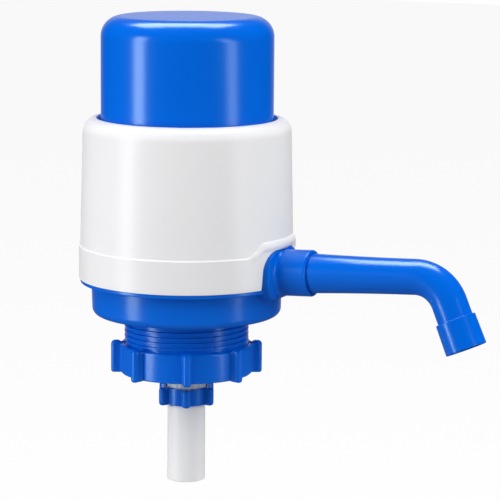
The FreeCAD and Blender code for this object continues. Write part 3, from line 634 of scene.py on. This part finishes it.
# ---- Outer housing ----
# White ABS cylinder over the bellows. Its thicker skirt rises over the port in a brow edged with a low bead,
# and a U-shaped cut-out, open at the foot, lets the port plate through. The rim turns in over the cap.

WHITE = plastic("white_abs", linear(236, 236, 237), linear(232, 232, 234), 0.34, peel=0.03, cloud=22.0,
                IOR=1.46)
housing_low, housing_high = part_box("outer_housing")
skirt_r = 0.0512
body_r = 0.0506
body_draft = 0.0014
shell_wall = 0.0022
skirt_foot = housing_low.z
rim = housing_high.z
plate_top = plate_centre + plate_half_height
band = plate_top - 0.0014
brow_top = plate_top + 0.0048
brow_half_top = 0.016
brow_half_foot = 0.026
brow_bead = 0.0006
brow_bead_width = 0.004
cut_gap = 0.0004
cut_top = plate_top + cut_gap
cut_corner = plate_corner_r + cut_gap
cut_foot_corner = 0.0005
cut_edge = 0.0003
shoulder_r = 0.0063
rim_hole_r = 0.0427
lip_foot = rim - 0.0024
lip_chamfer = 0.003


def cut_half(z):
    """Half width of the cut-out at height z, beside the plate's leaning side."""
    return plate_half(z) + cut_gap * plate_slant


def boundary():
    """Foot line of half the shell, from the back round to the middle of the cut-out's top.

    Returns the angle, the height and the direction into the wall (sideways, up) of each point: along the
    skirt's foot, round a small corner, up the cut-out's leaning side, round its large corner and along its
    top. Both corners are arcs that touch the side, whose normal is turned up by the lean.
    """
    lean_angle = atan(plate_lean)
    foot_level, top_level = skirt_foot + cut_foot_corner, cut_top - cut_corner
    foot_centre = np.array([cut_half(foot_level) + cut_foot_corner * plate_slant, foot_level])
    top_centre = np.array([cut_half(top_level) - cut_corner * plate_slant, top_level])
    foot_angle = np.linspace(pi, asin(foot_centre[0] / skirt_r), 120)
    parts = [[foot_angle, np.full(120, skirt_foot), np.zeros(120), np.ones(120)]]

    def add(y, z, turn):
        parts.append([np.arcsin(y / skirt_r), z, np.cos(turn), np.sin(turn)])

    def add_arc(centre, radius, turn):
        add(centre[0] + radius * np.cos(turn), centre[1] + radius * np.sin(turn), turn)

    add_arc(foot_centre, -cut_foot_corner, np.linspace(pi / 2, lean_angle, 9)[1:])
    low = foot_centre - cut_foot_corner * np.array([cos(lean_angle), sin(lean_angle)])
    high = top_centre + cut_corner * np.array([cos(lean_angle), sin(lean_angle)])
    share = np.linspace(0, 1, 15)[1:]
    add(low[0] + (high[0] - low[0]) * share, low[1] + (high[1] - low[1]) * share, np.full(14, lean_angle))
    add_arc(top_centre, cut_corner, np.linspace(lean_angle, pi / 2, 25)[1:])
    add(top_centre[0] * (1 - np.linspace(0, 1, 17)[1:]), np.full(16, cut_top), np.full(16, pi / 2))
    return [np.concatenate(column) for column in zip(*parts)]


def body_radius(z):
    """Outer radius of the drafted body at height z."""
    return body_r - body_draft * np.clip((z - band) / (rim - band), 0, 1)


def band_line(angle):
    """Height of the skirt's upper edge: the band, raised by a smooth step over the port."""
    y = np.where(np.cos(angle) > 0, np.abs(np.sin(angle)) * skirt_r, 1.0)
    rise = smooth((brow_half_foot - y) / (brow_half_foot - brow_half_top))
    return band + (brow_top - band) * rise, rise


foot_angle, foot_z, into_side, into_up = boundary()
crown_angle = np.linspace(pi, 0, len(foot_angle))
crown = 0.046
beside_angle = 0.55
beside_fade = 0.12
steepest = 1.2
edge_arc = 0.4
inner_step = 0.001
band_lead = 0.4
band_step = 0.0006
band_width = 0.0042
plain_share = 0.7
band_slant = 1.15
band_angle = (1 - band_lead) * foot_angle + band_lead * crown_angle
line, rise = band_line(band_angle)
step_top = line + band_step


def drawn_in(inset):
    """Angle a of the foot line, drawn into the wall: a sideways inset turns it by inset / (r cos a)."""
    return foot_angle + into_side * inset / (skirt_r * np.cos(np.minimum(foot_angle, steepest)))


skirt_angle = drawn_in(cut_edge)
skirt_z = foot_z + into_up * cut_edge
skirt_top = np.minimum(line - band_width, skirt_z + plain_share * (line - skirt_z))


def skirt_row(share):
    """Row of the plain skirt, from the cut edge up to a little below the band."""
    angle = skirt_angle + (band_angle - skirt_angle) * share
    return polar(angle, skirt_r, skirt_z + (skirt_top - skirt_z) * share)


def band_row(share):
    """Row of the band: the radius falls by a smooth step at the line, and below the brow it swells in a bead.

    The bead's height over the skirt is brow_bead * a ^ 1.5, where a is a parabola across brow_bead_width.
    """
    z = skirt_top + (step_top - skirt_top) * share
    drop = (line - z) / band_slant
    step = smooth(drop / band_step + 0.5)
    arch = np.clip(1 - ((drop - brow_bead_width / 2) / (brow_bead_width / 2)) ** 2, 0, 1)
    bead = brow_bead * arch ** 1.5 * smooth(rise * 2)
    plain = body_radius(z)
    return polar(band_angle, plain + (skirt_r - plain) * step + bead, z)


def body_row(share):
    """Row of the drafted body, from the band up to the crown's level, as its columns spread out evenly."""
    z = step_top + (crown - step_top) * share
    return polar(band_angle + (crown_angle - band_angle) * share, body_radius(z), z)


def inner_point(inset, sunk):
    """Points at the cut edge, drawn in by inset and sunk below the outer wall.

    Beside the cut-out they keep their y all through the wall, and past beside_angle they go straight inwards.
    """
    angle = drawn_in(inset)
    r = skirt_r - sunk
    beside = np.clip((beside_angle - foot_angle) / beside_fade, 0, 1)
    parallel = np.arcsin(np.clip(skirt_r * np.sin(angle) / r, -1, 1))
    return polar(angle + (parallel - angle) * beside, r, foot_z + into_up * inset)


def edge_row(share):
    """Row across the cut edge: an arc from the outer wall, straight through, and an arc to the inner wall."""
    q = min(min(share, 1 - share) / edge_arc, 1) * pi / 2
    inset, sunk = cut_edge * (1 - sin(q)), cut_edge * (1 - cos(q))
    if share >= 1 - edge_arc:
        sunk = shell_wall - sunk
    elif share > edge_arc:
        sunk = cut_edge + (shell_wall - 2 * cut_edge) * (share - edge_arc) / (1 - 2 * edge_arc)
    return inner_point(inset, sunk)


def inner_row(share):
    """Row of the inner wall, from the cut edge up to the crown's level."""
    low = inner_point(cut_edge, shell_wall)
    low_angle = np.arctan2(low[:, 1], low[:, 0])
    low_angle[0] = pi
    angle = low_angle + (crown_angle - low_angle) * share
    z = low[:, 2] + (crown - low[:, 2]) * share
    step = np.clip((z - band) / inner_step + 1, 0, 1)
    return polar(angle, skirt_r - shell_wall - (skirt_r - body_radius(z)) * step, z)


rows = [edge_row(s) for s in np.linspace(1, 0, 19)]
rows += [skirt_row(s) for s in np.linspace(0, 1, 22)[1:]]
rows += [band_row(s) for s in np.linspace(0, 1, 34)[1:]]
rows += [body_row(s) for s in np.linspace(0, 1, 14)[1:]]
inner_top_r = body_r - body_draft - shell_wall
rim_outline = rounded([
    (body_radius(crown) - shell_wall, crown), (body_radius(crown), crown),
    (body_r - body_draft, rim, shoulder_r), (rim_hole_r, rim, 0.0004),
    (rim_hole_r, lip_foot, 0.0003), (inner_top_r - lip_chamfer, lip_foot, 0.0004),
    (inner_top_r, lip_foot - lip_chamfer, 0.0004),
], steps=14)
rows += [polar(crown_angle, r, z) for r, z in rim_outline if z > crown + 1e-6]
rows += [inner_row(s) for s in np.linspace(1, 0, 24)]
half_shell = np.stack(rows)
mirrored = half_shell[:, -2:0:-1] * [1, -1, 1]
housing = np.concatenate([half_shell, mirrored], axis=1)
fit(piece("housing_shell", housing), "base", "white_shell", WHITE, "outer_housing")


# ---- Ring nut ----
# Blue nut on the neck's thread, turned by hand with eight upright lugs. The lugs are solid, as tall as the
# nut with a little to spare at both ends, and rounded all over.

lug_half = 0.00195
lug_round = 0.0018
lug_end = 0.45


def lugged_nut(plain, lugged, count, start, flank=0.0005, between=14):
    """Nut whose outline changes from `plain` to `lugged` at each of `count` lugs.

    Along a lug the sideways distance y stays the same at every radius, so its flanks are parallel. A flank is
    the mix (1 - w) plain + w lugged as w goes from 0 to 1, and the lug's outer edge follows a quarter circle.
    """
    w = np.linspace(0, 1, 9)
    q = np.linspace(0, pi / 2, 7)[1:]
    flat = np.linspace(0, 1, 5)[1:]
    y = np.concatenate([
        lug_half + flank * (1 - w) ** 3,
        lug_half - lug_round * (1 - np.cos(q)),
        (lug_half - lug_round) * (1 - flat),
    ])
    mix = np.concatenate([w, np.ones(len(q) + len(flat))])
    shrink = lug_round * np.concatenate([np.ones(len(w)), 1 - np.sin(q), np.zeros(len(flat))])
    y = np.concatenate([y, -y[-2::-1]])
    mix, shrink = (np.concatenate([side, side[-2::-1]]) for side in (mix, shrink))
    outward = np.clip((lugged[:, :1] - plain[:, :1]) / np.ptp(lugged[:, 0] - plain[:, 0]), 0, 1)
    ends = np.sign(lugged[:, 1:] - lugged[:, 1:].mean()) * (lugged[:, 1:] != plain[:, 1:])
    reach = lugged[:, :1] - shrink * outward
    tall = lugged[:, 1:] - lug_end * shrink * ends
    r = (1 - mix) * plain[:, :1] + mix * reach
    z = (1 - mix) * plain[:, 1:] + mix * tall
    across = np.broadcast_to(y, r.shape)
    x = np.sqrt(np.maximum(r ** 2 - across ** 2 * (mix < 1), 1e-9))
    first = np.arctan2(across[:, :1], x[:, :1])
    gap = 2 * pi / count
    parts = []
    for i in range(count):
        turn = start + gap * i
        c, s = cos(turn), sin(turn)
        parts.append(np.stack([x * c + across * s, x * s - across * c, z], axis=-1))
        share = np.linspace(0, 1, between + 2)[1:-1]
        parts.append(polar(turn + first + (gap - 2 * first) * share, plain[:, :1], plain[:, 1:]))
    return np.concatenate(parts, axis=1)


nut_low, nut_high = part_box("ring_nut")
nut_lip_r = 0.0283
nut_bore_r = neck_root_r + thread_height + 0.0001
nut_r = nut_bore_r + 0.00165
nut_reach = 0.0361
nut_foot = nut_low.z + 0.0006
nut_top = nut_high.z - 0.0011
lip_top = nut_foot + 0.002
nut_lip = [(nut_lip_r, nut_foot, 0.0003)]
nut_inside = [(nut_bore_r, nut_top, 0.0003), (nut_bore_r, lip_top, 0.0001), (nut_lip_r, lip_top, 0.0003)]
nut_plain = rounded(nut_lip + [
    (nut_r - 0.0006, nut_foot), (nut_r - 0.0006, nut_foot),
    (nut_r, nut_foot, 0.0005), (nut_r, nut_top, 0.0008),
    (nut_r - 0.0009, nut_top), (nut_r - 0.0009, nut_top),
] + nut_inside)
nut_lugged = rounded(nut_lip + [
    (nut_r - 0.0006, nut_foot), (nut_r - 0.0006, nut_low.z, 0.0003),
    (nut_reach, nut_low.z, 0.0012), (nut_reach, nut_high.z, 0.0019),
    (nut_r + 0.0004, nut_high.z, 0.0014), (nut_r - 0.0002, nut_top - 0.0007),
] + nut_inside)
nut = lugged_nut(nut_plain, nut_lugged, 8, radians(-63.4))
fit(piece("neck_nut_body", nut), "neck_nut", "blue_shell", BLUE, "ring_nut")


# ---- Tube connector ----
# Milky translucent sleeve between the base and the dip tube. It is fluted where fingers turn it, plugs into
# the inlet socket with an O-ring and carries the small nut's thread at its lower end.

CLEAR = plastic("translucent_sleeve", linear(232, 240, 250), linear(214, 228, 246), 0.2, IOR=1.47,
                Transmission_Weight=0.04, Subsurface_Weight=0.5, Subsurface_Radius=(1, 1, 1),
                Subsurface_Scale=0.002)
sleeve_low, sleeve_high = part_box("tube_connector")
sleeve_r = 0.0093
sleeve_thread_r = 0.00965
sleeve_thread_top = -0.0389
collar_foot = socket_foot - 0.0025
flute_count = 26
flute_depth = 0.00022
groove_z = (socket_foot + sleeve_high.z) / 2
groove_half = 0.0012
plug_side = socket_bore_r - 0.00008
groove_floor = socket_bore_r - 0.00176
sleeve_outline = rounded([
    (water_bore_r, sleeve_low.z, 0.0002), (sleeve_thread_r - 0.0002, sleeve_low.z, 0.0003),
    (sleeve_thread_r - 0.0002, sleeve_thread_top, 0.0002),
    (sleeve_r, sleeve_thread_top + 0.0004, 0.0002), (sleeve_r, collar_foot, 0.0003),
    (sleeve_high.x, collar_foot, 0.0003), (sleeve_high.x, socket_foot - 0.00005, 0.0002),
    (plug_side, socket_foot - 0.00005, 0.0001), (plug_side, groove_z - groove_half, 0.0001),
    (groove_floor, groove_z - groove_half, 0.0001), (groove_floor, groove_z + groove_half, 0.0001),
    (plug_side, groove_z + groove_half, 0.0001), (plug_side, sleeve_high.z - 0.001, 0.0002),
    (socket_bore_r - 0.001, sleeve_high.z, 0.0002), (water_bore_r, sleeve_high.z, 0.0002),
])
sleeve_grid = lathe(sleeve_outline, 312)
sleeve_wall = np.abs(np.hypot(sleeve_grid[..., 0], sleeve_grid[..., 1]) - sleeve_r) < 1e-6
sleeve_turn = np.arctan2(sleeve_grid[..., 1], sleeve_grid[..., 0])
ripple = 1 - flute_depth / sleeve_r * (0.5 - 0.5 * np.cos(flute_count * sleeve_turn))
sleeve_grid[..., :2] *= np.where(sleeve_wall, ripple, 1.0)[..., None]
fit(piece("connector_sleeve", sleeve_grid), "base", "clear_sleeve", CLEAR, "tube_connector")


# ---- Dip tube ----
# Extruded white polyethylene tube, cut square and lightly broken at the edge. Its top is flared into a collar
# that the small nut pulls up against the silicone washer.

TUBE = plastic("white_tube", linear(243, 243, 245), linear(235, 236, 239), 0.33, peel=0.04,
               Subsurface_Weight=0.3, Subsurface_Radius=(1, 1, 1), Subsurface_Scale=0.001)
tube_low, tube_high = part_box("dip_tube")
tube_r = 0.00905
tube_bore = 0.00805
waist_r = tube_r - 0.0002
small_low, small_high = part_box("tube_nut")
waist_foot = small_low.z - 0.0006
tube_outline = rounded([
    (tube_bore, tube_low.z, 0.0003), (tube_r, tube_low.z, 0.0004),
    (tube_r, waist_foot - 0.0002), (waist_r, waist_foot),
    (waist_r, tube_high.z - 0.0012, 0.0001), (tube_high.x, tube_high.z - 0.0012, 0.0002),
    (tube_high.x, tube_high.z, 0.0001), (tube_bore, tube_high.z, 0.0001),
])
fit(piece("tube_body", lathe(tube_outline, 128)), "tube", "tube_plastic", TUBE, "dip_tube")


# ---- Tube nut ----
# Small blue union nut with six lugs. Its foot has an inward lip that catches the dip tube's collar.

small_r = 0.0108
small_reach = 0.0147
small_bore = 0.00995
small_lip = 0.00915
small_over = 0.0002
small_foot = small_low.z + small_over
small_top = small_high.z - small_over
small_catch = tube_high.z - 0.00125
small_mouth = [(small_lip, small_foot, 0.0002)]
small_inside = [
    (small_bore, small_top, 0.0001), (small_bore, small_catch, 0.0001), (small_lip, small_catch, 0.0001),
]
small_plain = rounded(small_mouth + [
    (small_r - 0.0004, small_foot), (small_r - 0.0004, small_foot),
    (small_r, small_foot, 0.0003), (small_r, small_top, 0.0004),
    (small_r - 0.0005, small_top), (small_r - 0.0005, small_top),
] + small_inside)
small_lugged = rounded(small_mouth + [
    (small_r - 0.0004, small_foot), (small_r - 0.0004, small_low.z, 0.0002),
    (small_reach, small_low.z, 0.0014), (small_reach, small_high.z, 0.0012),
    (small_r - 0.0005, small_high.z, 0.0003), (small_r - 0.0005, small_top),
] + small_inside)
small_nut = lugged_nut(small_plain, small_lugged, 6, radians(-64), flank=0.0003, between=8)
fit(piece("small_nut_body", small_nut), "small_nut", "blue_shell", BLUE, "tube_nut")


# ---- Spout ----
# Blue outlet tube, moulded straight and bent over a mandrel. It tapers a little from its shoulder, and its
# plug turns in the port on an O-ring, so that the spout can be swung aside.

spout_root = 0.0092
spout_r = 0.0083
spout_bore = 0.0064
spout_gap = 0.0004
end_mix = 0.06
spout_corner = 0.0631
taper_length = spout_corner - 0.012
spout_bend = radians(68.3)
spout_bend_r = 0.018
spout_drop = 0.0348
spout_roll = radians(-5)
nozzle_depth = 0.0045
plug_r = 0.0087
plug_end = -0.012
plug_start = 0.0026
plug_groove_r = plug_r - 0.00166
groove_x = plug_end + 0.00384
tilt = atan2(port_dir[2], port_dir[0])


def on_port(points):
    """Points drawn with the port's lip at the origin and the spout along +X, rolled and tilted into place."""
    c, s = cos(spout_roll), sin(spout_roll)
    rolled = points @ np.array([[1, 0, 0], [0, c, s], [0, -s, c]])
    c, s = cos(tilt), sin(tilt)
    return port_lip + rolled @ np.array([[c, 0, s], [0, 1, 0], [-s, 0, c]])


drop_dir = np.array([cos(spout_bend), 0, -sin(spout_bend)])
spout_knee = np.array([spout_corner, 0, 0])
spout_end = spout_knee + drop_dir * (spout_drop - nozzle_depth)
spout_path = bent_path(np.array([plug_start, 0, 0]), spout_knee, spout_end, spout_bend_r, 40)
path_run = np.concatenate([[0], np.cumsum(np.linalg.norm(np.diff(spout_path[0], axis=0), axis=1))])
taper = np.clip(1 - path_run / taper_length, 0, 1)
spout_outer = tube(*spout_path, spout_r + (spout_root - spout_r) * taper ** 2)
spout_inner = tube(*spout_path, np.full(len(path_run), spout_bore))


def straight_rings(outline, start, heading, segments):
    """Rings of an (r, run) outline about a line, each begun on the side where the bent tube's rings begin."""
    run = outline[:, 1:2]
    headings = np.tile(heading, (len(run), 1))
    return tube(start + heading * run, headings, spout_path[2], outline[:, 0], segments)


plug_outline = rounded([
    (spout_bore, plug_start), (spout_bore, plug_end, 0.0003),
    (plug_r, plug_end, 0.0006), (plug_r, groove_x - groove_half, 0.0001),
    (plug_groove_r, groove_x - groove_half, 0.0001),
    (plug_groove_r, groove_x + groove_half, 0.0001), (plug_r, groove_x + groove_half, 0.0001),
    (plug_r, spout_gap, 0.0001), (spout_root, spout_gap, 0.0003),
    (spout_root, plug_start),
])
shoulder = straight_rings(plug_outline[7:-2], np.zeros(3), np.array([1, 0, 0]), 96)
end_cap = spout_outer[-1:] * end_mix + spout_inner[-1:] * (1 - end_mix)
spout_grid = np.concatenate([shoulder, spout_outer, end_cap, spout_inner[::-1]])
fit(piece("spout_body", on_port(spout_grid)), "spout", "blue_shell", BLUE, "spout_tube")


# ---- Spout nozzle ----
# Short blue sleeve pushed over the spout's end. It flares slightly towards its open mouth, where its wall is
# thin and the edge is lightly rounded inside and out.

sleeve_length = 0.0146
nozzle_bore = spout_r + 0.00005
nozzle_mouth = 0.00885
nozzle_top_r = 0.00945
nozzle_end_r = 0.0097
nozzle_start = spout_drop - sleeve_length
nozzle_outline = rounded([
    (nozzle_bore, nozzle_start, 0.0002), (nozzle_top_r, nozzle_start, 0.0004),
    (nozzle_end_r, spout_drop, 0.0004), (nozzle_mouth, spout_drop, 0.0003),
    (nozzle_mouth, spout_drop - nozzle_depth, 0.0001),
    (nozzle_bore, spout_drop - nozzle_depth, 0.0001),
])
nozzle_rings = straight_rings(nozzle_outline, spout_knee, drop_dir, 128)
fit(piece("nozzle_sleeve", on_port(nozzle_rings)), "spout", "blue_shell", BLUE, "spout_nozzle")


# ---- Floor, light and camera ----
# The pump is held up over a plain white floor in a white room. Two tall soft boxes stand at its sides and one
# hangs over it, a little behind, for the gloss. Four wide panels give the even light, and the pale backdrop
# shows in gloss only behind the pump, as in a dimmed studio.

floor_level = -0.3
floor_half = 6
view_turn = radians(-65)
view_rise = radians(9.45)
toward = np.array([cos(view_turn), sin(view_turn), 0])
backdrop_gloss = 0.65
paper_share = 0.94


def behind_pump(tree, direction):
    """Brightness of the backdrop in gloss: highest straight behind the pump, nothing beyond 45 degrees.

    It is backdrop_gloss * s ^ 3, where s goes from 0 to 1 as the cosine of the angle goes from 0.7 to 1.
    """
    unit = add_node(tree, "VectorMath", {0: direction}, operation="NORMALIZE")
    facing = add_node(tree, "VectorMath", {0: unit, 1: (-toward[0], -toward[1], 0)}, operation="DOT_PRODUCT")
    share = add_node(tree, "MapRange", {"Value": facing.outputs["Value"], "From Min": 0.7})
    return maths(tree, "MULTIPLY", maths(tree, "POWER", share, 3), backdrop_gloss)


def seen_level(tree, direction):
    """Two nodes: 1 for rays of sight, glass or gloss, and the backdrop's level in them (1, or its gloss)."""
    ray = add_node(tree, "LightPath").outputs
    clear = maths(tree, "MAXIMUM", ray["Is Camera Ray"], ray["Is Transmission Ray"])
    seen = maths(tree, "MAXIMUM", clear, ray["Is Glossy Ray"])
    return seen, add_node(tree, "Mix", {"Factor": clear, 2: behind_pump(tree, direction), 3: 1})


paper = bpy.data.materials.new("white_paper")
paper.use_nodes = True
sheet = paper.node_tree
matt = sheet.nodes["Principled BSDF"]
seen, level = seen_level(sheet, add_node(sheet, "TexCoord").outputs["Object"])
tone = add_node(sheet, "MapRange", {"Value": seen, "To Min": 0.35, "To Max": 0.95})
kept = maths(sheet, "MULTIPLY", seen, paper_share)
white = add_node(sheet, "Emission", {"Strength": level})
blend = add_node(sheet, "MixShader", {"Fac": kept, 1: matt, 2: white})
feed(sheet, matt, {"Base Color": tone, "Roughness": 0.9})
feed(sheet, sheet.nodes["Material Output"], {"Surface": blend})
floor_mesh = bpy.data.meshes.new("floor")
floor_corners = [(x * floor_half, y * floor_half, floor_level)
                 for x, y in ((-1, -1), (1, -1), (1, 1), (-1, 1))]
floor_mesh.from_pydata(floor_corners, [], [(0, 1, 2, 3)])
floor = bpy.data.objects.new("floor", floor_mesh)
scene.collection.objects.link(floor)
floor.data.materials.append(paper)

world = bpy.data.worlds.new("studio")
scene.world = world
world.use_nodes = True
world.cycles.sampling_method = "NONE"
room = world.node_tree
direction = add_node(room, "TexCoord").outputs["Generated"]
seen, level = seen_level(room, direction)
height = add_node(room, "SeparateXYZ", {"Vector": direction}).outputs["Z"]
sky = add_node(room, "MapRange", {"Value": height, "To Min": 0.05, "To Max": 0.08})
strength = add_node(room, "Mix", {"Factor": seen, 2: sky, 3: level})
feed(room, room.nodes["Background"], {"Color": (1, 1, 1, 1), "Strength": strength})


def look(place, target, roll):
    """Rotation that points an object's -Z from place to target, its Y upright, then rolled about its Z."""
    upright = (Vector(target) - Vector(place)).to_track_quat("-Z", "Y")
    return (upright @ Quaternion((0, 0, 1), roll)).to_euler()


def soft_box(name, turn, rise, width, height, radiance, roll=0, gloss=True, diffuse=True, distance=1.2):
    """Area lamp at a turn from the camera's side and a rise above the horizon, aimed at the pump.

    Its power is pi * area * radiance, so that radiance is how bright it looks in a mirror. It can be rolled
    about its own beam, and kept out of the gloss or out of the diffuse light.
    """
    lamp = bpy.data.lights.new(name, "AREA")
    lamp.shape = "RECTANGLE"
    lamp.size, lamp.size_y = width, height
    lamp.energy = pi * width * height * radiance
    bearing = view_turn + radians(turn)
    rise = radians(rise)
    centre = np.array([0, 0, 0.05])
    obj = bpy.data.objects.new(name, lamp)
    obj.location = centre + distance * polar(bearing, cos(rise), sin(rise))
    obj.rotation_euler = look(obj.location, centre, radians(roll))
    obj.visible_glossy, obj.visible_diffuse = gloss, diffuse
    lamp.cycles.use_multiple_importance_sampling = gloss
    scene.collection.objects.link(obj)


soft_box("left_box", -64, 3, 0.33, 0.86, 8, roll=-6)
soft_box("right_box", 58, 3, 0.25, 0.86, 4, roll=33)
soft_box("top_box", -167, 73, 1.25, 0.6, 11, roll=-13, diffuse=False)
soft_box("front_panel", 0, 57, 1.6, 1.6, 2, gloss=False, distance=1.5)
soft_box("right_panel", 85, 28, 2.2, 1.6, 1.55, gloss=False, distance=1.5)
soft_box("back_panel", 180, 65, 2.2, 1.6, 1, gloss=False, distance=1.5)
soft_box("left_panel", -90, 28, 2.2, 1.6, 1.05, gloss=False, distance=1.5)

view_distance = 1.245
view_roll = radians(0.42)
axis_offset = 0.03003
aim_level = 0.028
right = np.array([-sin(view_turn), cos(view_turn), 0])
aim = right * axis_offset + np.array([0, 0, aim_level])
seat = aim + view_distance * (cos(view_rise) * toward + np.array([0, 0, sin(view_rise)]))
camera = bpy.data.cameras.new("camera")
camera.sensor_width = 36
camera.lens = 188.4
eye = bpy.data.objects.new("camera", camera)
eye.location = seat
eye.rotation_euler = look(seat, aim, view_roll)
scene.collection.objects.link(eye)
scene.camera = eye
scene.view_settings.view_transform = "Standard"


def corners(box):
    """A box as plain lists of numbers."""
    return [[round(float(value), 6) for value in corner] for corner in box]
